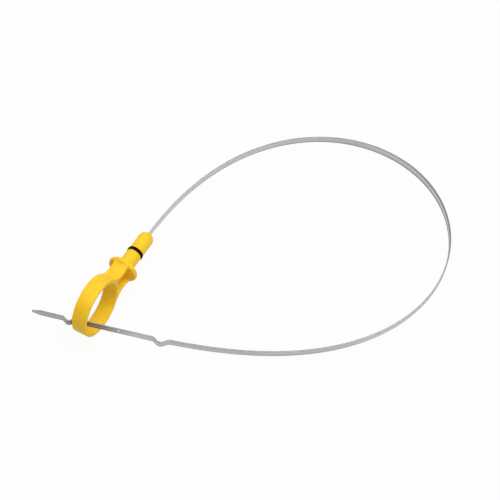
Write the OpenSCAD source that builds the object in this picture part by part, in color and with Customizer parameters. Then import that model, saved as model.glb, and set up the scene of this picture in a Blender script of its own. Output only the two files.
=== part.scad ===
// Engine oil dipstick: a moulded pull handle with a finger ring and a round stop flange,
// a rubber ring in a groove on its plug, and a long springy steel blade. The blade is
// bent round into a loop and its end is tucked through the finger ring, as it is kept
// off the car. It lies on its ring and on the far side of the loop.

/* [Finger ring] */
// Outer diameter of the finger ring
ring_d = 35; // [30:0.5:42]
// Thickness of the ring's flat band
ring_t = 2.2; // [1.8:0.1:3.6]
// Width of the band and of the neck
band_w = 9; // [7:0.1:12]

/* [Neck] */
// From the back of the flange to the ring's centre
neck_len = 27.5; // [24:0.1:34]
// Height of the neck at its waist
waist_h = 12.8; // [10:0.2:15]
// From the back of the flange to the waist
waist_back = 5.1; // [4:0.1:7]
// Thickness of the neck's upper and lower walls
neck_wall = 2.3; // [1.6:0.1:3]
// Thickness of the web between the two side pockets
web_t = 2.4; // [1.6:0.1:4]

/* [Stop flange] */
// Diameter of the flange that stops on the tube's mouth
flange_d = 18.2; // [16:0.1:24]
// Thickness of the flange
flange_t = 3; // [3:0.1:4]
// Radius of the flange's rounded rim
rim_r = 1.4; // [0.6:0.1:1.4]
// Radius of the fillet between the flange and the plug
root_r = 2.4; // [0.8:0.1:2.6]

/* [Plug] */
// Diameter of the plug that goes into the tube
plug_d = 9; // [8.7:0.1:10]
// From the flange to the tip of the nose
plug_len = 26.7; // [24:0.1:34]
// From the tip of the nose to the middle of the groove
groove_x = 15.4; // [12:0.1:18]
// Diameter at the bottom of the groove
groove_d = 6.7; // [6:0.1:7]
// Width of the groove
groove_w = 1.9; // [1.8:0.1:2.6]
// Radius of the rounded nose, just short of a half ball
nose_r = 4.3; // [2.6:0.1:4.4]

/* [Rubber ring] */
// Thickness of the rubber ring's round section
seal_t = 1.5; // [1.2:0.1:1.7]
// Clearance between the rubber ring and the bottom of its groove
seal_gap = 0.05; // [0.02:0.01:0.2]

/* [Blade] */
// Width of the blade
blade_w = 4.3; // [3.4:0.1:5]
// Thickness of the blade
blade_t = 0.8; // [0.5:0.05:1.2]
// Length of the blade from the nose to the place where it leans on the ring
loop_len = 499.9; // [440:0.1:560]
// Bend of the blade by itself if it were let go, in degrees for each metre
own_set = -37; // [-80:1:0]
// Length of the blade's root, moulded into the plug
root_len = 12; // [8:0.5:13]
// Clearance between the blade and the ring where it leans on it
lean_gap = 0.05; // [0.02:0.01:0.3]

/* [Level marks] */
// From the ring to the start of the kink that marks the full level
full_back = 53.3; // [46:0.1:60]
// Length of the gentle leg of the full kink
full_in = 4.6; // [3:0.1:6]
// Length of the steep leg of each kink
kink_out = 3.4; // [3:0.1:6]
// Depth of each kink
kink_d = 2.7; // [1.5:0.1:3.4]
// Length of the first leg of the low kink, just past the ring
low_in = 2.8; // [2.6:0.1:5]
// From the ring to the start of the low kink
low_gap = 0.4; // [0.4:0.1:2]
// Radius of every bend in the blade
bend_r = 1.2; // [0.8:0.1:1.6]
// From the ring back to the hole between the marks
hole_back = 25.5; // [16:0.5:36]
// Diameter of the hole between the marks
hole_d = 2.2; // [1:0.1:2.6]
// Length of the blade past the end of the low kink
tip_len = 17.2; // [12:0.2:26]
// How far the tip section is set off from the measuring section
tip_set = 0; // [0:0.1:1.2]
// Length of the taper at the tip
taper_len = 4.7; // [2:0.1:8]
// Width left at the very tip
tip_w = 1.3; // [0.6:0.1:2.4]

/* [Pose on the table] */
// Direction, seen from above, from the ring to where the loop touches the table
lie_az = -41; // [-48:1:-34]
// How far the handle is turned about its own axis, out of the plane of the loop
handle_turn = -3; // [-5:0.5:5]

/* [Hidden] */
$fn = 96;
deg = 180 / PI;
ring_r = ring_d / 2;
ring_in = ring_r - ring_t;
flange_x = -plug_len;
flange_back = flange_x - flange_t;
ring_x = flange_back - neck_len;
waist_x = flange_back - waist_back;
// the two arcs overlap by this much where they run into each other, so that they cross
blend = 0.02;
// the hollow of the neck is one arc that runs into the ring's outer circle
reach = neck_len - waist_back;
arc_r = (reach * reach + pow(waist_h / 2, 2) - pow(ring_r - blend, 2))
      / (2 * (ring_r - blend - waist_h / 2));
arc_z = waist_h / 2 + arc_r;

// THE SPRUNG LOOP
// The ring pushes the blade along one line. The blade's curvature at any point is in
// proportion to the distance from that line, as in any thin strip that is bent by a
// single force. k is that proportion and psi the direction square to the line. Both
// are found so that a blade of the given length ends exactly where the ring holds it.
lean_x = ring_x - sqrt(ring_in * ring_in - blade_w * blade_w / 4);
lean_y = band_w / 2;
steps = 120;
step = loop_len / steps;
// first guesses for k times the length squared and for psi, and how often they are corrected
guess_k = 17.6;
guess_psi = -33;
rounds = 7;
function curve_at(x, y, k, psi) =
    k * ((x - lean_x) * cos(psi) + (y - lean_y) * sin(psi)) + own_set / deg / 1000;
function bend(x, y, h, k, psi) =
    curve_at(x + cos(h) * step / 2, y + sin(h) * step / 2, k, psi) * step * deg;
function walk(p, k, psi, n) =
    n == 0 ? p : walk(advance(p, k, psi), k, psi, n - 1);
function advance(p, k, psi) =
    let(b = bend(p[0], p[1], p[2], k, psi), m = p[2] - b / 2)
    [p[0] + step * cos(m), p[1] + step * sin(m), p[2] - b];
function left(h) = [-sin(h), cos(h)];
// how far the blade's face is from the ring's edge at the end of the walk
function miss(k, psi) =
    let(e = walk([0, 0, 0], k, psi, steps))
    [e[0], e[1]] + left(e[2]) * (blade_t / 2 + lean_gap) - [lean_x, lean_y];
function solved(k, psi, n) =
    n == 0 ? [k, psi] :
    let(dk = k / 1000, dp = 0.05)
    let(e = miss(k, psi), ek = (miss(k + dk, psi) - e) / dk, ep = (miss(k, psi + dp) - e) / dp)
    let(det = ek[0] * ep[1] - ek[1] * ep[0])
    solved(k - (e[0] * ep[1] - e[1] * ep[0]) / det,
           psi - (ek[0] * e[1] - ek[1] * e[0]) / det, n - 1);
force = solved(guess_k / (loop_len * loop_len), guess_psi, rounds);
function track(p, n) = n < 0 ? [] : concat([p], track(advance(p, force[0], force[1]), n - 1));
loop = track([0, 0, 0], steps);
last = loop[steps];

// place and heading at a distance s along the centre line, straight past both ends
function at(s) =
    s <= 0 ? [s, 0, 0] :
    s >= loop_len ? [last[0] + (s - loop_len) * cos(last[2]),
                     last[1] + (s - loop_len) * sin(last[2]), last[2]] :
    let(i = min(floor(s / step), steps - 1), f = s / step - i)
    loop[i] * (1 - f) + loop[i + 1] * f;
// a point at s along the centre line, set off to the left by o
function beside(s, o) = let(p = at(s)) [p[0], p[1]] + left(p[2]) * o;

// BENDS, drawn along the straightened blade
function unit(v) = v / norm(v);
// an arc of radius r in the corner a-b-c
function corner(a, b, c, r) =
    let(u = unit(a - b), v = unit(c - b), half = acos(max(-1, min(1, u * v))) / 2)
    let(mid = b + unit(u + v) * r / sin(half))
    [for (i = [0:4]) let(w = i / 4) arc_point(b + u * r / tan(half), b, b + v * r / tan(half), mid, r, w)];
function arc_point(p, b, q, mid, r, w) = mid + r * unit((p - mid) * (1 - w) + (q - mid) * w);
function rounded(pts, r) =
    [for (i = [1:len(pts) - 2]) each corner(pts[i - 1], pts[i], pts[i + 1], r)];
// the blade is drawn by its bends from this far before the full kink on
lead_in = 20;
full_s = loop_len - full_back;
low_s = loop_len + low_gap;
full_end = full_s + full_in + kink_out;
low_end = low_s + low_in + kink_out;
end_s = low_end + tip_len;
kinks = rounded([[full_s - lead_in, 0], [full_s, 0], [full_s + full_in, kink_d], [full_end, 0],
                 [low_s, 0], [low_s + low_in, kink_d], [low_end, -tip_set], [end_s, -tip_set]],
                bend_r);
calm = [for (i = [0:steps]) if (i * step < kinks[0][0] - step / 3) [i * step, 0]];
line = [for (q = concat([[-root_len, 0]], calm, kinks, [[end_s, -tip_set]])) beside(q[0], q[1])];
last_p = len(line) - 1;
// the two faces of the strip, half a thickness to each side of the line
function side_of(i) =
    let(a = unit(line[min(i + 1, last_p)] - line[min(i, last_p - 1)]),
        b = unit(line[max(i, 1)] - line[max(i - 1, 0)]), m = unit(a + b))
    [-m[1], m[0]] / (m * a);
strip = concat([for (i = [0:last_p]) line[i] + side_of(i) * blade_t / 2],
               [for (i = [last_p:-1:0]) line[i] - side_of(i) * blade_t / 2]);

// HOW IT LIES
// It rests on the lower edge of the ring and, farthest along lie_az, on the loop's edge.
// up is the table's normal, leaning back from the loop by an angle whose tangent is w.
along = [cos(lie_az), sin(lie_az)];
far_d = max([for (p = strip) p * along]) - ring_x * along[0];
ring_axis = [0, cos(handle_turn), sin(handle_turn)];
// how far the ring reaches from its centre against a direction n
function ring_drop(n) =
    let(c = n * ring_axis) ring_r * norm(n - c * ring_axis) + abs(c) * band_w / 2;
function lean(w, n) =
    n == 0 ? w :
    lean((ring_drop([-w * along[0], -w * along[1], 1]) - blade_w / 2) / far_d, n - 1);
tilt = atan(lean(0.07, 6));
up = [-sin(tilt) * along[0], -sin(tilt) * along[1], cos(tilt)];
floor_d = up * [ring_x, 0, 0] - ring_drop(up);
// the turn that brings up to +Z, for points and for solids
tilt_axis = [-along[1], along[0], 0];
function tilted(p) =
    p * cos(tilt) + cross(tilt_axis, p) * sin(tilt) + tilt_axis * (tilt_axis * p) * (1 - cos(tilt));
corners = [for (p = strip) for (z = [-1, 1]) tilted([p[0], p[1], z * blade_w / 2])];
mid_x = (max([for (p = corners) p[0]]) + min([for (p = corners) p[0]])) / 2;
mid_y = (max([for (p = corners) p[1]]) + min([for (p = corners) p[1]])) / 2;

// the handle points along +Y, and the middle of the outline is over the origin
module laid_down() {
    rotate([0, 0, 90])
        translate([-mid_x, -mid_y, -floor_d])
            rotate(tilt, tilt_axis)
                children();
}

// SUB-PARTS
// the hollow of the neck, grown by t so that t = neck_wall gives the pockets' outline
module neck_outline(t) {
    difference() {
        polygon([[ring_x, 0], [waist_x, arc_z], [flange_back + (t > 0 ? 0 : 0.5), arc_z],
                 [flange_back + (t > 0 ? 0 : 0.5), -arc_z], [waist_x, -arc_z]]);
        for (s = [-1, 1])
            translate([waist_x, s * arc_z])
                circle(r = arc_r + t);
    }
}

module side_profile() {
    difference() {
        union() {
            translate([ring_x, 0])
                circle(r = ring_r);
            neck_outline(0);
        }
        translate([ring_x, 0])
            circle(r = ring_in);
    }
}

module pocket_profile() {
    difference() {
        neck_outline(neck_wall);
        translate([ring_x, 0])
            circle(r = ring_r);
    }
}

// flange, plug and nose, turned about the handle's axis
module turned_profile() {
    difference() {
        union() {
            translate([0, flange_back])
                square([flange_d / 2 - rim_r, flange_t]);
            translate([0, flange_back + rim_r])
                square([flange_d / 2, flange_t - 2 * rim_r]);
            for (h = [flange_back + rim_r, flange_x - rim_r])
                translate([flange_d / 2 - rim_r, h])
                    circle(r = rim_r);
            translate([0, flange_x - 0.5])
                square([plug_d / 2, plug_len + 0.5 - nose_r]);
            translate([0, -nose_r - 0.5])
                square([plug_d / 2 - nose_r, nose_r + 0.5]);
            translate([plug_d / 2 - nose_r, -nose_r])
                intersection() {
                    circle(r = nose_r);
                    translate([nose_r - plug_d / 2, -nose_r])
                        square([plug_d, 2 * nose_r]);
                }
            difference() {
                translate([0, flange_x - 0.5])
                    square([plug_d / 2 + root_r, root_r + 0.5]);
                translate([plug_d / 2 + root_r, flange_x + root_r])
                    circle(r = root_r);
            }
        }
        translate([groove_d / 2, -groove_x - groove_w / 2])
            square([plug_d, groove_w]);
    }
}

module handle() {
    color([0.98, 0.78, 0.2])
        laid_down()
            difference() {
                rotate([handle_turn, 0, 0])
                    handle_body();
                // the blade's root fills its own slot
                translate([-root_len, -blade_t / 2, -blade_w / 2])
                    cube([root_len + nose_r, blade_t, blade_w]);
            }
}

module handle_body() {
    difference() {
        union() {
            rotate([90, 0, 0])
                linear_extrude(band_w, center = true)
                    side_profile();
            rotate([0, 90, 0])
                rotate_extrude()
                    turned_profile();
        }
        for (s = [-1, 1])
            translate([0, s * (web_t + band_w) / 2, 0])
                rotate([90, 0, 0])
                    linear_extrude(band_w, center = true)
                        pocket_profile();
    }
}

module seal_ring() {
    color([0.08, 0.08, 0.08])
        laid_down()
            translate([-groove_x, 0, 0])
                rotate([0, 90, 0])
                    rotate_extrude()
                        translate([groove_d / 2 + seal_gap + seal_t / 2, 0])
                            circle(d = seal_t);
}

module blade() {
    color([0.7, 0.71, 0.7])
        laid_down()
            difference() {
                linear_extrude(blade_w, center = true)
                    polygon(strip);
                level_hole();
                tip_taper();
            }
}

// a small hole through the flat of the blade, between the two marks
module level_hole() {
    p = at(loop_len - hole_back);
    translate([p[0], p[1], 0])
        rotate([90, 0, p[2]])
            cylinder(d = hole_d, h = 4 * blade_t, center = true);
}

// the two corners that are cut off beside the tip
module tip_taper() {
    p = beside(end_s, -tip_set);
    cut = (blade_w - tip_w) / 2;
    for (s = [-1, 1])
        translate([p[0], p[1], 0])
            rotate([90, 0, last[2]])
                linear_extrude(4 * blade_t, center = true)
                    polygon([[-taper_len, s * blade_w / 2],
                             [taper_len, s * (blade_w / 2 - 2 * cut)],
                             [taper_len, s * blade_w]]);
}

handle();
seal_ring();
blade();
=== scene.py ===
# %% [markdown]
# # An engine oil dipstick
# This file builds the looks of a dipstick around its CAD model. The handle is one moulding of
# yellow plastic: a finger ring, a hollowed neck, a round flange and a plug with a rubber ring.
# A long springy steel blade comes out of the plug's nose, swings round in a loop, and its end
# is tucked through the finger ring. Everything is in metres, and lies on the plane z = 0.
#
# The CAD model is loaded first. It stays as it is, and each new piece hides the part of it
# that it stands for.

# %% Load the imported model
import math

import bpy
import numpy as np
from mathutils import Matrix, Vector


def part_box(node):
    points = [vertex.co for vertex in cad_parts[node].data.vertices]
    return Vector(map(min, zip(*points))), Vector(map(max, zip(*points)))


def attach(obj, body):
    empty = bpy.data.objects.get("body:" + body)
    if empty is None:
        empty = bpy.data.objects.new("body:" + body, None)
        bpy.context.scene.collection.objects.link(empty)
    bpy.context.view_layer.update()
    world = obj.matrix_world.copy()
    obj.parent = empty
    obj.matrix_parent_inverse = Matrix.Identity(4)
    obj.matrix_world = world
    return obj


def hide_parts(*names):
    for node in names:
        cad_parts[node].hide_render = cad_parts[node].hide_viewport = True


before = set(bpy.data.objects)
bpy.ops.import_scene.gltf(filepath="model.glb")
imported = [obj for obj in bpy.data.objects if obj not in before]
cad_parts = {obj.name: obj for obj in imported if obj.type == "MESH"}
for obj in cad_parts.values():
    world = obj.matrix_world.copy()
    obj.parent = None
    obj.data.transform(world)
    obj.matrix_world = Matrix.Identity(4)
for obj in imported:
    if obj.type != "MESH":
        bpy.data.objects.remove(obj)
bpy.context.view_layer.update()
print("CAD nodes:", sorted(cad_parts))

# %% [markdown]
# ## Drawing frame
# The dipstick is easiest to draw with the tip of its nose at the origin, the handle's axis
# along X and the loop of the blade flat in the plane z = 0. At the end each piece is laid
# down as the real one lies: tipped by a few degrees on to the edge of its finger ring and
# the far side of the loop. `LAY` is that move, and `lay_down` applies it to a mesh, so that
# the finished object sits at the origin with its place in its vertices.

# %% Lay a drawn piece down
MM = 0.001
TIP_OVER = math.radians(4.1451)
LEAN = math.radians(-41)  # the way in which the loop lies over
NOSE_AT = Vector((-23.0238, 64.678, 14.4012))  # before the quarter turn about Z
LAY = (
    Matrix.Rotation(math.radians(90), 4, "Z")
    @ Matrix.Translation(NOSE_AT * MM)
    @ Matrix.Rotation(TIP_OVER, 4, (-math.sin(LEAN), math.cos(LEAN), 0))
)


def only(*pieces):
    """Select these objects and nothing else, and make the first one active."""
    if bpy.context.object and bpy.context.object.mode != "OBJECT":
        bpy.ops.object.mode_set(mode="OBJECT")
    bpy.ops.object.select_all(action="DESELECT")
    for piece in pieces:
        piece.select_set(True)
    bpy.context.view_layer.objects.active = pieces[0] if pieces else None


def lay_down(piece, turn=0.0):
    """Move a drawn piece to where it lies. turn is a roll about the handle's axis first."""
    only(piece)
    piece.matrix_world = LAY @ Matrix.Rotation(math.radians(turn), 4, "X")
    bpy.ops.object.transform_apply(location=True, rotation=True, scale=True)


print("tipped by", round(math.degrees(TIP_OVER), 2), "degrees")

# %% [markdown]
# ## The line of the sprung blade
# A thin strip that is bent by one force takes a shape in which the curvature at each place
# grows with the distance from the line that the force acts along. Here the finger ring holds
# the blade's end. So the curve is walked in short steps from the nose, and two numbers, the
# strength and the direction of the pull, are corrected until the walk ends at the ring.

# %% Walk along the sprung blade
BLADE_W, BLADE_T = 4.3, 0.8  # section of the strip
LOOP = 499.9  # length from the nose to the place where the ring holds the blade
STEPS = 120
STEP = LOOP / STEPS
RING_X, RING_OUT, RING_IN, BAND = -57.2, 17.5, 15.3, 9.0  # the ring's middle, radii and width
LEAN_GAP = 0.05  # between the blade's face and the ring
HELD = Vector((RING_X - math.sqrt(RING_IN**2 - BLADE_W**2 / 4), BAND / 2))
OWN_SET = math.radians(-37) / 1000  # the curve that the strip keeps when it is let go


def walk(pull, way):
    """Places and headings along the blade from the nose, in mm and radians."""
    x, y, head = 0.0, 0.0, 0.0
    rows = [(x, y, head)]
    for _ in range(STEPS):
        mx, my = x + math.cos(head) * STEP / 2, y + math.sin(head) * STEP / 2
        arm = (mx - HELD.x) * math.cos(way) + (my - HELD.y) * math.sin(way)
        bent = (pull * arm + OWN_SET) * STEP
        x += STEP * math.cos(head - bent / 2)
        y += STEP * math.sin(head - bent / 2)
        head -= bent
        rows.append((x, y, head))
    return rows


def miss(pull, way):
    """How far the blade's face ends from the place where the ring holds it."""
    x, y, head = walk(pull, way)[-1]
    side = BLADE_T / 2 + LEAN_GAP
    return np.array([x - math.sin(head) * side - HELD.x, y + math.cos(head) * side - HELD.y])


pull, way = 17.6 / LOOP**2, math.radians(-33)
NUDGE = 0.001
for _ in range(7):
    here = miss(pull, way)
    slopes = np.column_stack([
        (miss(pull * (1 + NUDGE), way) - here) / (pull * NUDGE),
        (miss(pull, way + NUDGE) - here) / NUDGE,
    ])
    pull, way = np.array([pull, way]) - np.linalg.solve(slopes, here)
loop_line = walk(pull, way)
print("misses the ring by", np.round(miss(pull, way), 6), "mm")
print("meets it at a heading of", round(math.degrees(loop_line[-1][2]), 2), "degrees")

# %% [markdown]
# ## The blade, drawn straight
# The real blade is rolled strip, 4.3 mm wide and 0.8 mm thick, with its edges slightly rounded.
# Two pressed kinks mark the levels, a small hole sits between them, and the end is tapered. It
# could be drawn bent from the start, but it is far easier to make it straight and bend it
# afterwards. So a small face, the section of the strip, is extruded station by station, and
# turned at each bend of a kink. A press leaves the bottom of a kink rounder than its ends, so
# every corner has a radius of its own, a little larger than in the CAD model.
#
# Without a window, the rotate operator turns the other way round, so the angle is negated.

# %% Stations along the straight blade
ROOT = 12.0  # length hidden in the plug
# Each kink's start, deepest place and end, along the blade from the nose.
FULL, FULL_DEEP, FULL_END = LOOP - 54.2, LOOP - 49.4, LOOP - 45.4
LOW, LOW_DEEP, LOW_END = LOOP - 0.1, LOOP + 2.8, LOOP + 6.1
FULL_D, LOW_D = 3.3, 2.85  # depths of the two kinks
TIP, TAPER, TIP_W, END_ROUND = LOOP + 24.2, 4.7, 1.3, 0.25
# Corners of the kinks: the place along the blade, how far off its line, and the radius.
bends = [
    (FULL, 0.0, 2.2), (FULL_DEEP, FULL_D, 3.2), (FULL_END, 0.0, 2.2),
    (LOW, 0.0, 1.9), (LOW_DEEP, LOW_D, 2.2), (LOW_END, 0.0, 1.9),
]


def round_bends(corners, start, end, parts=6):
    """Round each corner (along, off, radius) of a line. Returns (along, off, heading) rows."""
    rows = []
    line = [Vector(p[:2]) for p in [start, *corners, end]]
    for before, corner, after, (_, _, radius) in zip(line, line[1:], line[2:], corners):
        way_in, way_out = (corner - before).normalized(), (after - corner).normalized()
        a, b = math.atan2(way_in.y, way_in.x), math.atan2(way_out.y, way_out.x)
        cut = radius * abs(math.tan((b - a) / 2))
        place = corner - way_in * cut
        rows.append((place.x, place.y, a))
        for i in range(parts):
            mid = a + (b - a) * (i + 0.5) / parts
            chord = 2 * radius * math.sin(abs(b - a) / 2 / parts)
            place = place + Vector((math.cos(mid), math.sin(mid))) * chord
            rows.append((place.x, place.y, a + (b - a) * (i + 1) / parts))
    return rows


bent_rows = round_bends(bends, (FULL - 20, 0.0), (TIP, 0.0))
calm_rows = [(s, 0.0, 0.0) for s in np.arange(0.0, bent_rows[0][0] - 2, STEP)]
stations = [(-ROOT, 0.0, 0.0), *calm_rows, *bent_rows,
            (TIP - TAPER, 0.0, 0.0), (TIP - END_ROUND, 0.0, 0.0), (TIP, 0.0, 0.0)]
print(len(stations), "stations over", round(stations[-1][0] + ROOT, 1), "mm")

# %% Extrude the blade from station to station
EDGE_ROUND = 0.24
only()
bpy.ops.mesh.primitive_plane_add(size=1, location=(0, 0, 0), rotation=(0, math.radians(90), 0))
blade = bpy.context.object
blade.name = "steel_blade"
blade.scale = (BLADE_W * MM, BLADE_T * MM, 1)
bpy.ops.object.transform_apply(location=True, rotation=True, scale=True)
bpy.ops.object.mode_set(mode="EDIT")
bpy.ops.mesh.select_all(action="SELECT")
bpy.ops.mesh.bevel(offset=EDGE_ROUND * MM, offset_type="OFFSET", segments=3, affect="VERTICES")
for before, (along, off, head) in zip(stations, stations[1:]):
    bpy.ops.mesh.extrude_region_move(
        TRANSFORM_OT_translate={"value": ((along - before[0]) * MM, (off - before[1]) * MM, 0)}
    )
    centre = ((along + ROOT) * MM, off * MM, 0)
    bent = head - before[2]
    if abs(bent) > 1e-6:
        bpy.ops.transform.rotate(value=-bent, orient_axis="Z", center_override=centre)
    if along >= TIP - END_ROUND:
        thin, narrow = (1, TIP_W / BLADE_W) if along < TIP else (0.6, 0.75)
        bpy.ops.transform.resize(value=(1, thin, narrow), center_override=centre)
bpy.ops.mesh.select_all(action="SELECT")
bpy.ops.mesh.remove_doubles(threshold=0.002 * MM)
bpy.ops.mesh.normals_make_consistent(inside=False)
bpy.ops.object.mode_set(mode="OBJECT")
print("straight blade:", [round(d / MM, 2) for d in blade.dimensions], "mm")

# %% [markdown]
# The hole is a real cut through the strip, taken out by a small cylinder with a Boolean. The
# straight place of each vertex is then kept in an attribute named `straight`: the grain of the
# steel runs along the blade, so its material has to follow the blade round the loop.

# %% Drill the hole and keep the straight places
HOLE_AT, HOLE_D = LOOP - 25.5, 2.2
only()
bpy.ops.mesh.primitive_cylinder_add(
    vertices=32, radius=HOLE_D / 2 * MM, depth=3 * MM,
    location=((HOLE_AT + ROOT) * MM, 0, 0), rotation=(math.radians(90), 0, 0),
)
drill = bpy.context.object
drill.name = "drill"
only(blade)
cut = blade.modifiers.new("hole", "BOOLEAN")
cut.operation, cut.solver, cut.object = "DIFFERENCE", "EXACT", drill
bpy.ops.object.modifier_apply(modifier=cut.name)
bpy.data.objects.remove(drill)

straight = np.zeros(len(blade.data.vertices) * 3)
blade.data.vertices.foreach_get("co", straight)
kept = blade.data.attributes.new("straight", "FLOAT_VECTOR", "POINT")
kept.data.foreach_set("vector", straight)
print("hole at", HOLE_AT, "mm;", len(blade.data.vertices), "vertices")

# %% [markdown]
# A sprung strip also twists a little where it turns most, so that its top edge leans outwards
# there. Each vertex is turned about the middle line of the strip, by an angle that rises and
# falls along the far turn of the loop, and once more, weakly, after it. Each twist is its
# largest angle in degrees, and the length of blade at which it starts and ends.

# %% Twist the strip at the far turn
twists = [(-11.0, 125.0, 262.0), (-4.5, 245.0, 345.0)]
for vertex in blade.data.vertices:
    for most, start, end in twists:
        share = (vertex.co.x / MM - ROOT - start) / (end - start)
        if 0 < share < 1:
            turn = math.radians(most) * (1 - math.cos(2 * math.pi * share)) / 2
            vertex.co = Matrix.Rotation(turn, 3, "X") @ vertex.co
print("twisted by up to", -min(twists)[0], "degrees")

# %% [markdown]
# Now the blade is bent. A Curve modifier carries a mesh along a curve: the mesh's X becomes
# the way along it. The curve is the walk from above, with a straight piece at both ends.

# %% Bend the blade round the loop
end_x, end_y, end_head = loop_line[-1]
tail = [
    (end_x + s * math.cos(end_head), end_y + s * math.sin(end_head)) for s in (10, 20, 30)
]
track = [(-ROOT, 0.0), *[(x, y) for x, y, _ in loop_line], *tail]
path_data = bpy.data.curves.new("loop_path", "CURVE")
path_data.dimensions = "3D"
path_data.twist_mode = "Z_UP"
spline = path_data.splines.new("POLY")
spline.points.add(len(track) - 1)
for point, (x, y) in zip(spline.points, track):
    point.co = (x * MM, y * MM, 0, 1)
loop_path = bpy.data.objects.new("loop_path", path_data)
bpy.context.collection.objects.link(loop_path)
only(blade)
bend = blade.modifiers.new("loop", "CURVE")
bend.object, bend.deform_axis = loop_path, "POS_X"
bpy.ops.object.modifier_apply(modifier=bend.name)
bpy.data.objects.remove(loop_path)
bpy.ops.object.shade_smooth_by_angle(angle=math.radians(40))
print("bent blade:", [round(d / MM, 1) for d in blade.dimensions], "mm")

# %% [markdown]
# ## The yellow handle
# The handle is one plastic moulding. It is easiest to build it from a few simple closed
# shapes that run into each other: the band of the finger ring, the two curved walls of the
# neck, the web between them, and the round flange, plug and nose. Each is shaped on its own,
# and a voxel Remesh then melts them into one skin. A short Smooth rounds every edge and
# inner corner by a few tenths of a millimetre, as a mould does.

# %% Spin a rounded bar
def spun_bar(name, centre, radius, thick, width, start, sweep, corner, steps):
    """A flat bar with rounded edges, bent round an axis along Y through centre, in mm."""
    only()
    a = math.radians(start)
    place = Vector((centre[0] + radius * math.cos(a), 0, centre[1] + radius * math.sin(a)))
    bpy.ops.mesh.primitive_plane_add(size=1, rotation=(0, 0, 0))
    bar = bpy.context.object
    bar.name = name
    bar.scale = (thick * MM, width * MM, 1)
    bpy.ops.object.transform_apply(scale=True)
    bpy.ops.object.mode_set(mode="EDIT")
    bpy.ops.mesh.select_all(action="SELECT")
    bpy.ops.mesh.bevel(offset=corner * MM, offset_type="OFFSET", segments=4, affect="VERTICES")
    bpy.ops.object.mode_set(mode="OBJECT")
    bar.rotation_euler, bar.location = (0, -a, 0), place * MM
    bpy.ops.object.transform_apply(location=True, rotation=True)
    bpy.ops.object.mode_set(mode="EDIT")
    bpy.ops.mesh.select_all(action="SELECT")
    bpy.ops.mesh.delete(type="ONLY_FACE")
    bpy.ops.mesh.select_all(action="SELECT")
    bpy.ops.mesh.spin(
        steps=steps, angle=math.radians(sweep),
        center=(centre[0] * MM, 0, centre[1] * MM), axis=(0, 1, 0),
    )
    bpy.ops.mesh.select_all(action="SELECT")
    bpy.ops.mesh.remove_doubles(threshold=0.005 * MM)
    if sweep < 360:
        bpy.ops.mesh.select_all(action="DESELECT")
        bpy.ops.mesh.select_non_manifold()
        bpy.ops.mesh.edge_face_add()
    bpy.ops.mesh.select_all(action="SELECT")
    bpy.ops.mesh.normals_make_consistent(inside=False)
    bpy.ops.object.mode_set(mode="OBJECT")
    print(name, [round(d / MM, 1) for d in bar.dimensions], "mm")
    return bar


FLANGE_BACK, NECK_LEN, WAIST_BACK, WAIST_H, WALL, WEB = -29.7, 27.5, 5.1, 12.8, 2.3, 2.4
WAIST_X, REACH, EDGE = FLANGE_BACK - WAIST_BACK, NECK_LEN - WAIST_BACK, 0.35
ARC_R = (REACH**2 + (WAIST_H / 2) ** 2 - RING_OUT**2) / (2 * (RING_OUT - WAIST_H / 2))
ARC_Z = WAIST_H / 2 + ARC_R
RING_MID, RING_WALL = (RING_OUT + RING_IN) / 2, RING_OUT - RING_IN
band = spun_bar("finger_ring", (RING_X, 0), RING_MID, RING_WALL, BAND, 0, 360, EDGE, 128)

# %% [markdown]
# The hollow of the neck is one arc that runs into the ring's circle. The upper wall is spun
# along it, and the lower wall is a mirrored copy. Mirroring turns a mesh inside out, so the
# copy has its normals recalculated. Both ends run on a little, 2 degrees into the ring and
# 0.5 mm into the flange, so that the shapes melt together later.

# %% The two curved walls of the neck
INTO_RING, INTO_FLANGE = 2, 0.5
meets_ring = math.degrees(math.atan2(-ARC_Z, RING_X - WAIST_X)) - INTO_RING
meets_flange = -math.degrees(math.acos((FLANGE_BACK + INTO_FLANGE - WAIST_X) / ARC_R))
upper_wall = spun_bar(
    "upper_wall", (WAIST_X, ARC_Z), ARC_R + WALL / 2, WALL, BAND,
    meets_ring, meets_flange - meets_ring, EDGE, 40,
)
only(upper_wall)
bpy.ops.object.duplicate()
lower_wall = bpy.context.object
lower_wall.name = "lower_wall"
lower_wall.scale = (1, 1, -1)
bpy.ops.object.transform_apply(scale=True)
bpy.ops.object.mode_set(mode="EDIT")
bpy.ops.mesh.select_all(action="SELECT")
bpy.ops.mesh.normals_make_consistent(inside=False)
bpy.ops.object.mode_set(mode="OBJECT")
print("walls from", round(meets_ring, 1), "to", round(meets_flange, 1), "degrees")

# %% [markdown]
# The web starts as a flat grid. Its columns are stretched to the middle of the walls, its
# first column follows the ring, and the sheet is then extruded to its thickness.

# %% The web between the pockets
WEB_START, WEB_LEN = -41.0, 12.2
only()
bpy.ops.mesh.primitive_grid_add(
    x_subdivisions=16, y_subdivisions=6, size=1, rotation=(math.radians(90), 0, 0)
)
web = bpy.context.object
web.name = "web"
bpy.ops.object.transform_apply(rotation=True)
for vertex in web.data.vertices:
    share, level = vertex.co.x + 0.5, vertex.co.z * 2
    x = WEB_START + share * WEB_LEN
    z = level * (ARC_Z - math.sqrt((ARC_R + WALL / 2) ** 2 - (x - WAIST_X) ** 2))
    if share < 0.01:
        x = RING_X + math.sqrt(RING_MID**2 - z**2)
    vertex.co = Vector((x, WEB / 2, z)) * MM
bpy.ops.object.mode_set(mode="EDIT")
bpy.ops.mesh.select_all(action="SELECT")
bpy.ops.mesh.extrude_region_move(TRANSFORM_OT_translate={"value": (0, -WEB * MM, 0)})
bpy.ops.mesh.select_all(action="SELECT")
bpy.ops.mesh.normals_make_consistent(inside=False)
bpy.ops.object.mode_set(mode="OBJECT")
print("web", [round(d / MM, 1) for d in web.dimensions], "mm")

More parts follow.
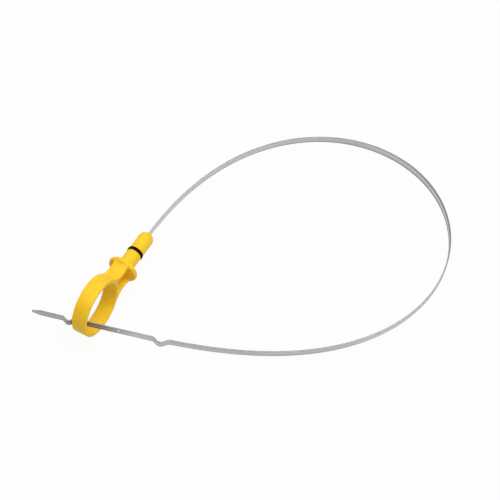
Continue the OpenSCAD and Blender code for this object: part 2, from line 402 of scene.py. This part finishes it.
# %% [markdown]
# The flange, the plug and the nose are round, so they are turned like wood on a lathe: a
# small disc at the nose is extruded along the axis and scaled at each step of the profile.

# %% Turn the plug and the flange
def arc(cx, cr, radius, start, end, parts):
    """Points (x, r) of an arc in the profile, angles in degrees from +X towards +r."""
    turns = [math.radians(start + (end - start) * i / parts) for i in range(parts + 1)]
    return [(cx + radius * math.cos(t), cr + radius * math.sin(t)) for t in turns]


START_R, PLUG_R, NOSE_R, GROOVE_R, GROOVE_X, GROOVE_W = 0.2, 4.5, 4.3, 3.35, -15.4, 1.9
FLANGE_R, RIM_R, ROOT_R, FLANGE_X = 9.1, 1.4, 2.4, -26.7
profile = [
    *arc(-NOSE_R, PLUG_R - NOSE_R, NOSE_R, 4, 90, 10),
    (GROOVE_X + GROOVE_W / 2, PLUG_R), (GROOVE_X + GROOVE_W / 2, GROOVE_R),
    (GROOVE_X - GROOVE_W / 2, GROOVE_R), (GROOVE_X - GROOVE_W / 2, PLUG_R),
    *arc(FLANGE_X + ROOT_R, PLUG_R + ROOT_R, ROOT_R, 270, 180, 6),
    *arc(FLANGE_X - RIM_R, FLANGE_R - RIM_R, RIM_R, 0, 90, 6),
    *arc(FLANGE_BACK + RIM_R, FLANGE_R - RIM_R, RIM_R, 90, 180, 6),
]
only()
bpy.ops.mesh.primitive_circle_add(
    vertices=96, radius=START_R * MM, fill_type="NGON",
    location=(0, 0, 0), rotation=(0, math.radians(90), 0),
)
plug = bpy.context.object
plug.name = "plug"
bpy.ops.object.transform_apply(location=True, rotation=True)
bpy.ops.object.mode_set(mode="EDIT")
bpy.ops.mesh.select_all(action="SELECT")
x, r = 0.0, START_R
for next_x, next_r in profile:
    bpy.ops.mesh.extrude_region_move(TRANSFORM_OT_translate={"value": ((next_x - x) * MM, 0, 0)})
    if abs(next_r - r) > 1e-6:
        bpy.ops.transform.resize(
            value=(1, next_r / r, next_r / r), center_override=(next_x * MM, 0, 0)
        )
    x, r = next_x, next_r
bpy.ops.mesh.select_all(action="SELECT")
bpy.ops.mesh.normals_make_consistent(inside=False)
bpy.ops.object.mode_set(mode="OBJECT")
print("plug and flange", [round(d / MM, 1) for d in plug.dimensions], "mm")

# %% [markdown]
# Now the five shapes are joined and melted into one moulding. The voxels are 0.25 mm, small
# enough for the groove and the pockets. On the real handle the flange is softer than the rest:
# its rim and the corners where the walls meet it look almost melted. Sharper tools would be a
# Bevel or more subdivision, but a Smooth that only reaches a vertex group does it in one go.
# The group covers the 2 mm in front of the flange's back, fades out over 2.5 mm on both sides
# so that no step shows, and leaves out what lies within 6 mm of the axis.

# %% Melt the shapes into one moulding
VOXEL, SOFT_LEN, FADE, CORE_R, CORE_FADE = 0.25, 2.0, 2.5, 6.0, 0.8
only(band, upper_wall, lower_wall, web, plug)
bpy.ops.object.join()
handle = bpy.context.object
handle.name = "yellow_handle"
melt = handle.modifiers.new("melt", "REMESH")
melt.mode, melt.voxel_size, melt.use_smooth_shade = "VOXEL", VOXEL * MM, True
bpy.ops.object.modifier_apply(modifier=melt.name)
soften = handle.modifiers.new("soften", "SMOOTH")
soften.factor, soften.iterations = 0.5, 4
bpy.ops.object.modifier_apply(modifier=soften.name)

around_flange = handle.vertex_groups.new(name="around_flange")
for vertex in handle.data.vertices:
    away = math.hypot(vertex.co.y, vertex.co.z) / MM
    ahead = vertex.co.x / MM - FLANGE_BACK
    near = 1 - max(0.0, -ahead, ahead - SOFT_LEN) / FADE
    if near > 0 and away > CORE_R:
        weight = min(near, (away - CORE_R) / CORE_FADE, 1.0)
        around_flange.add([vertex.index], weight, "REPLACE")
melted = handle.modifiers.new("melted_flange", "SMOOTH")
melted.factor, melted.iterations, melted.vertex_group = 0.5, 30, around_flange.name
bpy.ops.object.modifier_apply(modifier=melted.name)
handle.vertex_groups.clear()
bpy.ops.object.shade_smooth()
print("handle:", len(handle.data.polygons), "faces")

# %% [markdown]
# ## The rubber ring
# The ring is an ordinary O-ring of 1.5 mm section. A torus is the right start, but this one is
# squeezed by its groove: it is spread sideways until it fills it, bulges a little over its
# edges, and sits flat on its bottom. It also shows the thin seam of its mould round the
# middle. So the vertices are moved along the plug and pressed flat inside, and the outermost
# loop of edges is drawn out into a fine ridge.

# %% Shape the rubber ring
SEAL_T, SEAL_HALF_W, SEAL_GAP = 1.5, 0.93, 0.05
BULGE, FLAT, SEAM_W, SEAM_H = 0.28, 0.12, 0.07, 0.05
SEAL_MID = GROOVE_R + SEAL_GAP + SEAL_T / 2
only()
bpy.ops.mesh.primitive_torus_add(
    major_segments=96, minor_segments=24,
    major_radius=SEAL_MID * MM, minor_radius=SEAL_T / 2 * MM,
    location=(GROOVE_X * MM, 0, 0), rotation=(0, math.radians(90), 0),
)
seal = bpy.context.object
seal.name = "rubber_ring"
bpy.ops.object.transform_apply(location=True, rotation=True)
outer = (SEAL_MID + SEAL_T / 2) * MM
low = (GROOVE_R + FLAT) * MM
for vertex in seal.data.vertices:
    across = (vertex.co.x - GROOVE_X * MM) / (SEAL_T / 2 * MM)
    away = math.hypot(vertex.co.y, vertex.co.z)
    half_w = SEAL_HALF_W + BULGE * min(max((away / MM - PLUG_R + 0.1) / 0.15, 0.0), 1.0)
    vertex.co.x = (GROOVE_X + math.copysign(abs(across) ** 0.6, across) * half_w) * MM
    if away < low:
        vertex.co.yz = vertex.co.yz * (low / away)
bpy.ops.object.mode_set(mode="EDIT")
bpy.ops.mesh.select_all(action="DESELECT")
bpy.ops.object.mode_set(mode="OBJECT")
for edge in seal.data.edges:
    ends = [seal.data.vertices[i].co for i in edge.vertices]
    edge.select = all(math.hypot(p.y, p.z) > outer - 0.005 * MM for p in ends)
bpy.ops.object.mode_set(mode="EDIT")
bpy.ops.mesh.select_mode(type="EDGE")
bpy.ops.mesh.bevel(offset=SEAM_W * MM, segments=2, affect="EDGES")
bpy.ops.object.mode_set(mode="OBJECT")
for vertex in seal.data.vertices:
    away = math.hypot(vertex.co.y, vertex.co.z)
    if abs(vertex.co.x - GROOVE_X * MM) < 0.01 * MM and away > outer - 0.02 * MM:
        vertex.co.yz = vertex.co.yz * (1 + SEAM_H * MM / away)
bpy.ops.object.shade_smooth()
print("rubber ring", [round(d / MM, 2) for d in seal.dimensions], "mm")

# %% [markdown]
# ## Lay the pieces down and give them their places
# Each piece rides on the one body of the model, and the CAD node that it stands for is hidden. The
# handle is first turned by 3 degrees about its own axis, as the twist of the blade turns it.

# %% Lay down and attach
for piece, node, slot, turn in (
    (handle, "handle", "yellow_plastic", -3.0),
    (seal, "seal_ring", "black_rubber", 0.0),
    (blade, "blade", "spring_steel", 0.0),
):
    lay_down(piece, turn)
    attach(piece, "root")
    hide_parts(node)
    low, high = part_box(node)
    size = [round((b - a) / MM, 1) for a, b in zip(low, high)]
    print(piece.name, "stands for", node, size, "mm")

# %% [markdown]
# ## Yellow plastic
# The handle is moulded nylon: a warm yellow with a satin surface. Real mouldings are never one
# flat colour. The colour wanders a little over some millimetres, the gloss has a fine
# mottle, and the surface has a very fine grain from the mould. A Noise texture mixes two close
# yellows, and the same kind of noise drives the roughness and a small bump. Some light also
# goes into the plastic and comes out again as orange, which warms the pockets and the shade.

# %% A helper for materials
def new_material(name):
    """An empty node material with its shader and output joined, and a place to add nodes."""
    material = bpy.data.materials.new(name)
    material.use_nodes = True
    tree = material.node_tree
    tree.nodes.clear()
    output = tree.nodes.new("ShaderNodeOutputMaterial")
    shader = tree.nodes.new("ShaderNodeBsdfPrincipled")
    tree.links.new(shader.outputs["BSDF"], output.inputs["Surface"])
    return material, tree, shader


def add_node(tree, kind, values=(), **settings):
    """Add a node, set its properties and its input values, and return it."""
    node = tree.nodes.new(kind)
    for key, value in settings.items():
        setattr(node, key, value)
    for key, value in dict(values).items():
        node.inputs[key].default_value = value
    return node


def combine(tree, operation, first, second):
    """Join two values by a Math node. The second may be a number or another node's output."""
    node = add_node(tree, "ShaderNodeMath", operation=operation)
    tree.links.new(first, node.inputs[0])
    if isinstance(second, float):
        node.inputs[1].default_value = second
    else:
        tree.links.new(second, node.inputs[1])
    return node.outputs[0]


def noise(tree, where, scale, detail=3.0, roughness=0.5):
    """A Noise texture read at the vector `where`; returns its value output."""
    values = {"Scale": scale, "Detail": detail, "Roughness": roughness}
    node = add_node(tree, "ShaderNodeTexNoise", values)
    tree.links.new(where, node.inputs["Vector"])
    return node.outputs["Fac"]


def spread(tree, value, low, high, to_low=0.0, to_high=1.0):
    """Stretch the part of a value between low and high over to_low..to_high."""
    node = add_node(
        tree, "ShaderNodeMapRange",
        {"From Min": low, "From Max": high, "To Min": to_low, "To Max": to_high},
    )
    tree.links.new(value, node.inputs["Value"])
    return node.outputs["Result"]


def blend_colours(tree, share, first, second):
    """Mix two colours by a value; either may be a colour or another node's output."""
    node = add_node(tree, "ShaderNodeMix", data_type="RGBA")
    tree.links.new(share, node.inputs["Factor"])
    for socket, colour in ((node.inputs[6], first), (node.inputs[7], second)):
        if isinstance(colour, tuple):
            socket.default_value = (*colour, 1)
        else:
            tree.links.new(colour, socket)
    return node.outputs[2]


def window(tree, value, marks, top=1.0):
    """A share that rises between the first two marks and falls between the last two."""
    rise = spread(tree, value, marks[0], marks[1], 0.0, top)
    fall = spread(tree, value, marks[2], marks[3], 1.0, 0.0)
    return combine(tree, "MULTIPLY", rise, fall)


def bump(tree, shader, height, strength, distance):
    """Raise the surface by a height value, in metres."""
    node = add_node(tree, "ShaderNodeBump", {"Strength": strength, "Distance": distance})
    tree.links.new(height, node.inputs["Height"])
    tree.links.new(node.outputs["Normal"], shader.inputs["Normal"])


# %% The yellow plastic
yellow, tree, shader = new_material("yellow_nylon")
place = add_node(tree, "ShaderNodeTexCoord").outputs["Object"]
wander = spread(tree, noise(tree, place, 90, 4), 0.35, 0.65)
colour = blend_colours(tree, wander, (0.90, 0.542, 0.017), (0.95, 0.614, 0.029))
tree.links.new(colour, shader.inputs["Base Color"])
mottle = noise(tree, place, 900, 3)
tree.links.new(spread(tree, mottle, 0.3, 0.7, 0.36, 0.46), shader.inputs["Roughness"])
bump(tree, shader, noise(tree, place, 2600, 2), 0.25, 0.05 * MM)
shader.inputs["Specular IOR Level"].default_value = 0.15
shader.inputs["Subsurface Weight"].default_value = 0.2
shader.inputs["Subsurface Radius"].default_value = (1.0, 0.55, 0.1)
shader.inputs["Subsurface Scale"].default_value = 1.5 * MM
print("yellow plastic with", len(tree.nodes), "nodes")

# %% [markdown]
# ## Rolled steel
# The strip is rolled spring steel. Its rolling leaves fine lines and wider bands along the
# blade, so the noise is read at the straight place of each point, stretched fifty times along
# the blade. The lines vary the colour, the roughness and a very small bump.
#
# The rest of the finish is partly the wear of a used dipstick and partly painted shade. Each of
# these is a share
# that rises and falls with the straight place, and a mix of colours, laid one over the other:
#
# - Both borders of the strip are painted greyer than its middle. This is painted shade along its
#   edges, and it is strongest on the far turn.
# - A brown darkening covers the measuring end: partly a film of oil, and mostly painted shade
#   inside the finger ring, darker on both sides of the middle than along it.
# - The lower half of the inner side is darker.
# - The first part behind the plug and the part after the far turn are wiped bright.
# - The cut top edge is darker than the faces.

# %% The rolled steel
steel, tree, shader = new_material("rolled_steel")
run = add_node(tree, "ShaderNodeAttribute", attribute_name="straight").outputs["Vector"]
long_way = add_node(tree, "ShaderNodeMapping", {"Scale": (0.02, 1.0, 1.0)})
tree.links.new(run, long_way.inputs["Vector"])
lines = noise(tree, long_way.outputs["Vector"], 5200, 4, 0.6)
bands = noise(tree, long_way.outputs["Vector"], 1000, 2, 0.5)
patches = noise(tree, run, 70, 3)
bare = blend_colours(tree, spread(tree, lines, 0.3, 0.7), (0.58, 0.58, 0.57), (0.74, 0.74, 0.73))
bare = blend_colours(tree, spread(tree, bands, 0.38, 0.62, 0.0, 0.55), bare, (0.43, 0.43, 0.425))
bare = blend_colours(tree, spread(tree, patches, 0.4, 0.75, 0.0, 0.35), bare, (0.50, 0.48, 0.45))

straight_place = add_node(tree, "ShaderNodeSeparateXYZ")
tree.links.new(run, straight_place.inputs[0])
along, depth, level = (straight_place.outputs[axis] for axis in "XYZ")
off_middle = add_node(tree, "ShaderNodeMath", operation="ABSOLUTE")
tree.links.new(level, off_middle.inputs[0])
off_middle = off_middle.outputs[0]


def at(*places):
    """Places along the blade from the nose, as values of the straight X."""
    return [(ROOT + place) * MM for place in places]


# Painted shade: the borders of the strip are darkened all along, and more on the far turn.
far_turn_shade = window(tree, along, at(165, 205, 240, 262))
edge_shade = spread(tree, off_middle, 1.2 * MM, 1.9 * MM, 0.0, 0.45)
turn_edge_shade = spread(tree, off_middle, 0.8 * MM, 1.9 * MM, 0.0, 0.65)
turn_edge_shade = combine(tree, "MULTIPLY", turn_edge_shade, far_turn_shade)
colour = blend_colours(tree, edge_shade, bare, (0.36, 0.36, 0.355))
colour = blend_colours(tree, turn_edge_shade, colour, (0.20, 0.20, 0.19))

# Mostly painted shade inside the finger ring, with a little oil film on the end. It is darker on
# the sides than along the middle.
ring_shade_and_oil = combine(
    tree, "MULTIPLY",
    spread(tree, along, *at(LOOP - 34, LOOP - 14)),
    spread(tree, along, *at(LOOP, LOOP + 5), 1.0, 0.3),
)
ring_shade_sides = combine(tree, "MULTIPLY", ring_shade_and_oil, spread(tree, off_middle, 0.1 * MM, 0.7 * MM, 0.55, 1.0))
colour = blend_colours(tree, ring_shade_sides, colour, (0.17, 0.15, 0.10))

# Darker towards the bottom of the inner side.
lower_half = spread(tree, level, -0.6 * MM, -2.0 * MM)
lower_inner_dark = combine(tree, "MULTIPLY", lower_half, spread(tree, depth, 0.0, -0.3 * MM))
colour = blend_colours(tree, lower_inner_dark, colour, (0.20, 0.20, 0.195))

first_part = spread(tree, along, *at(20, 130), 0.8, 0.0)
after_turn = window(tree, along, at(256, 275, 330, 350), 0.6)
wiped = combine(tree, "MAXIMUM", first_part, after_turn)
colour = blend_colours(tree, wiped, colour, (0.70, 0.70, 0.715))

top_edge = spread(tree, level, (BLADE_W / 2 - 0.22) * MM, (BLADE_W / 2 - 0.08) * MM)
cut_grey = blend_colours(tree, wiped, (0.30, 0.30, 0.295), (0.46, 0.46, 0.465))
# Painted shade: the cut edge is darker still on the far turn.
cut_grey = blend_colours(tree, far_turn_shade, cut_grey, (0.215, 0.215, 0.21))
colour = blend_colours(tree, top_edge, colour, cut_grey)
tree.links.new(colour, shader.inputs["Base Color"])
tree.links.new(spread(tree, lines, 0.25, 0.75, 0.42, 0.55), shader.inputs["Roughness"])
bump(tree, shader, lines, 0.15, 0.006 * MM)
shader.inputs["Metallic"].default_value = 1.0
print("rolled steel with", len(tree.nodes), "nodes")

# %% [markdown]
# ## Black rubber
# The O-ring is soft rubber, black with a brown cast, and still damp with old oil. A matte
# base takes slightly lighter patches from a noise, and a very weak, rough coat stands for the
# oil.

# %% The black rubber
rubber, tree, shader = new_material("oily_rubber")
place = add_node(tree, "ShaderNodeTexCoord").outputs["Object"]
dust = spread(tree, noise(tree, place, 420, 4), 0.45, 0.75)
colour = blend_colours(tree, dust, (0.012, 0.005, 0.0003), (0.034, 0.015, 0.0008))
tree.links.new(colour, shader.inputs["Base Color"])
tree.links.new(spread(tree, dust, 0, 1, 0.42, 0.62), shader.inputs["Roughness"])
bump(tree, shader, noise(tree, place, 3000, 2), 0.3, 0.03 * MM)
shader.inputs["Specular IOR Level"].default_value = 0.025
shader.inputs["Coat Weight"].default_value = 0.01
shader.inputs["Coat Roughness"].default_value = 0.3
print("black rubber with", len(tree.nodes), "nodes")

# %% [markdown]
# ## Paint the pieces
# The CAD nodes behind the new pieces get the same finishes, so that the model looks right
# wherever they are shown.

# %% Put the materials on
for thing, material in (
    (handle, yellow), (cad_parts["handle"], yellow),
    (seal, rubber), (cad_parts["seal_ring"], rubber),
    (blade, steel), (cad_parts["blade"], steel),
):
    thing.data.materials.clear()
    thing.data.materials.append(material)
    print(thing.name, "->", material.name)

# %% [markdown]
# ## The stage
# A product photograph of this kind has a plain white ground. The floor is a pale matte plane
# for the light, so that it fills the shadows softly. The camera sees mostly white there, mixed
# with a little of the lit floor, which keeps a faint shadow. Reflections see less of that
# white, because it would veil the deep yellow in the shade, and the surroundings are likewise
# weaker for the light and for reflections than for the camera.

# %% Floor and surroundings
only()
bpy.ops.mesh.primitive_plane_add(size=6, location=(0, 0, 0))
floor = bpy.context.object
floor.name = "floor"
pale, tree, shader = new_material("pale_floor")
shader.inputs["Base Color"].default_value = (0.7, 0.7, 0.7, 1)
shader.inputs["Roughness"].default_value = 0.9
shader.inputs["Specular IOR Level"].default_value = 0.1
rays = add_node(tree, "ShaderNodeLightPath").outputs
mirrored = combine(tree, "MULTIPLY", rays["Is Glossy Ray"], 0.3)
seen = combine(tree, "MAXIMUM", rays["Is Camera Ray"], mirrored)
seen = combine(tree, "MAXIMUM", seen, rays["Is Transmission Ray"])
share = combine(tree, "MULTIPLY", seen, 0.94)
white = add_node(tree, "ShaderNodeEmission", {"Color": (1, 1, 1, 1), "Strength": 1.0})
mixed = add_node(tree, "ShaderNodeMixShader")
tree.links.new(share, mixed.inputs[0])
tree.links.new(shader.outputs["BSDF"], mixed.inputs[1])
tree.links.new(white.outputs["Emission"], mixed.inputs[2])
output = next(n for n in tree.nodes if n.type == "OUTPUT_MATERIAL")
tree.links.new(mixed.outputs[0], output.inputs["Surface"])
floor.data.materials.append(pale)

world = bpy.data.worlds.new("studio")
bpy.context.scene.world = world
world.use_nodes = True
tree = world.node_tree
tree.nodes.clear()
around, mirrored, ground = (
    add_node(tree, "ShaderNodeBackground", {"Color": (1, 1, 1, 1), "Strength": strength}).outputs[0]
    for strength in (0.36, 0.6, 1.0)
)
rays = add_node(tree, "ShaderNodeLightPath").outputs
seen = combine(tree, "MAXIMUM", rays["Is Camera Ray"], rays["Is Transmission Ray"])
sky = around
for share, other in ((rays["Is Glossy Ray"], mirrored), (seen, ground)):
    mixed = add_node(tree, "ShaderNodeMixShader")
    tree.links.new(share, mixed.inputs[0])
    tree.links.new(sky, mixed.inputs[1])
    tree.links.new(other, mixed.inputs[2])
    sky = mixed.outputs[0]
tree.links.new(sky, add_node(tree, "ShaderNodeOutputWorld").inputs["Surface"])
print("floor and world are ready")

# %% [markdown]
# ## Light
# Three large soft lamps stand for the softboxes of a product shot: the main one almost straight
# above, a weaker one on the left that opens the shadows, and a faint low one in front that
# lights the back of the flange and the outer side of the loop.

# %% Three soft lamps
def softbox(name, place, size, power):
    """A square area lamp that faces the middle of the object."""
    lamp = bpy.data.lights.new(name, "AREA")
    lamp.shape, lamp.size, lamp.energy = "SQUARE", size, power
    holder = bpy.data.objects.new(name, lamp)
    bpy.context.collection.objects.link(holder)
    holder.location = place
    holder.rotation_euler = (-Vector(place)).to_track_quat("-Z", "Y").to_euler()


softbox("main_softbox", (0.2, 0.12, 1.15), 0.7, 9.8)
softbox("side_softbox", (-0.7, 0.3, 0.9), 0.6, 2.2)
softbox("front_softbox", (0.7, -0.7, 0.4), 0.6, 1.0)
print("three lamps")

# %% [markdown]
# ## Camera
# The photograph is taken from above the loop, from the side of the handle's open pocket. The
# place and the roll come from fitting the drawn lines to those of the photograph: a lens of
# 144 mm from about 1.15 m.

# %% Place the camera
camera_data = bpy.data.cameras.new("camera")
camera = bpy.data.objects.new("camera", camera_data)
bpy.context.collection.objects.link(camera)
right = Vector((0.865996, 0.49985, -0.014192))
up = Vector((-0.409582, 0.725316, 0.553316))
back = Vector((0.286869, -0.473357, 0.83285))
eye = Vector((0.316911, -0.54203, 0.96115))
camera.matrix_world = Matrix.Translation(eye) @ Matrix((right, up, back)).transposed().to_4x4()
camera_data.lens, camera_data.sensor_width = 144, 36
camera_data.clip_start, camera_data.clip_end = 0.01, 20
bpy.context.scene.camera = camera
bpy.context.scene.view_settings.view_transform = "Standard"
print("camera", [round(c, 3) for c in camera.location])
